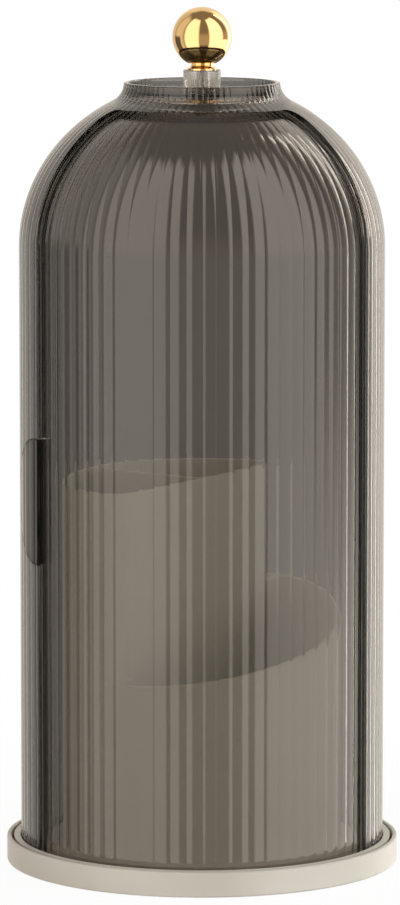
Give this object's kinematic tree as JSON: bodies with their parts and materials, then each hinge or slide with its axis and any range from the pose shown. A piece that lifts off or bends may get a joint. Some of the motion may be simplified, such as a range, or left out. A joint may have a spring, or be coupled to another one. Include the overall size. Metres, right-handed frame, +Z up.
{
  "type": "rotating makeup organizer",
  "caption": "Round makeup organizer on a turntable: a cream tub with tall and low cups under a fluted smoke dome with a turning door and a gold ball knob.",
  "frame": {"origin": "on the floor under the turning axis", "axes": "+Z up along the turning axis, -Y towards the front of the dome"},
  "size_m": [0.15, 0.15, 0.3274],
  "materials": {
    "cream_plastic": "satin moulded",
    "smoke_plastic": "clear smoke tint, fluted",
    "clear_plastic": "polished clear",
    "gold_plating": "polished gold electroplate",
    "brass": "bright",
    "nylon": "natural",
    "steel": "bright",
    "rubber": "matt"
  },
  "bodies": {
    "base": {"base_dish": "cream_plastic", "foot_pad_1": "rubber", "foot_pad_2": "rubber", "foot_pad_3": "rubber", "foot_pad_4": "rubber", "pivot_washer": "nylon", "pivot_screw": "steel"},
    "cage": {"ball_cage": "nylon", "bearing_balls": "steel"},
    "turntable": {"turntable_plate": "cream_plastic", "organizer_tub": "cream_plastic", "organizer_screws": "steel", "fixed_shell": "smoke_plastic", "knob_stem": "clear_plastic", "knob_collar": "gold_plating", "knob_ball": "gold_plating", "knob_stud": "steel", "pivot_sleeve": "brass", "hub_washer": "nylon", "clamp_washer": "nylon", "hub_nut": "brass"},
    "door": {"door_shell": "smoke_plastic", "door_grip": "smoke_plastic"}
  },
  "joints": [
    {"name": "turntable_spin", "type": "hinge", "parent": "base", "child": "turntable", "pos_m": [0, 0, 0.0083], "axis": [0, 0, 1], "continuous": true},
    {"name": "cage_spin", "type": "hinge", "parent": "base", "child": "cage", "pos_m": [0, 0, 0.0051], "axis": [0, 0, 1], "continuous": true},
    {"name": "door_turn", "type": "hinge", "parent": "turntable", "child": "door", "pos_m": [0, 0, 0.2922], "axis": [0, 0, 1], "range_deg": [0, 126]}
  ],
  "couplings": [
    {"joint": "cage_spin", "follows": "turntable_spin", "ratio": 0.5}
  ]
}
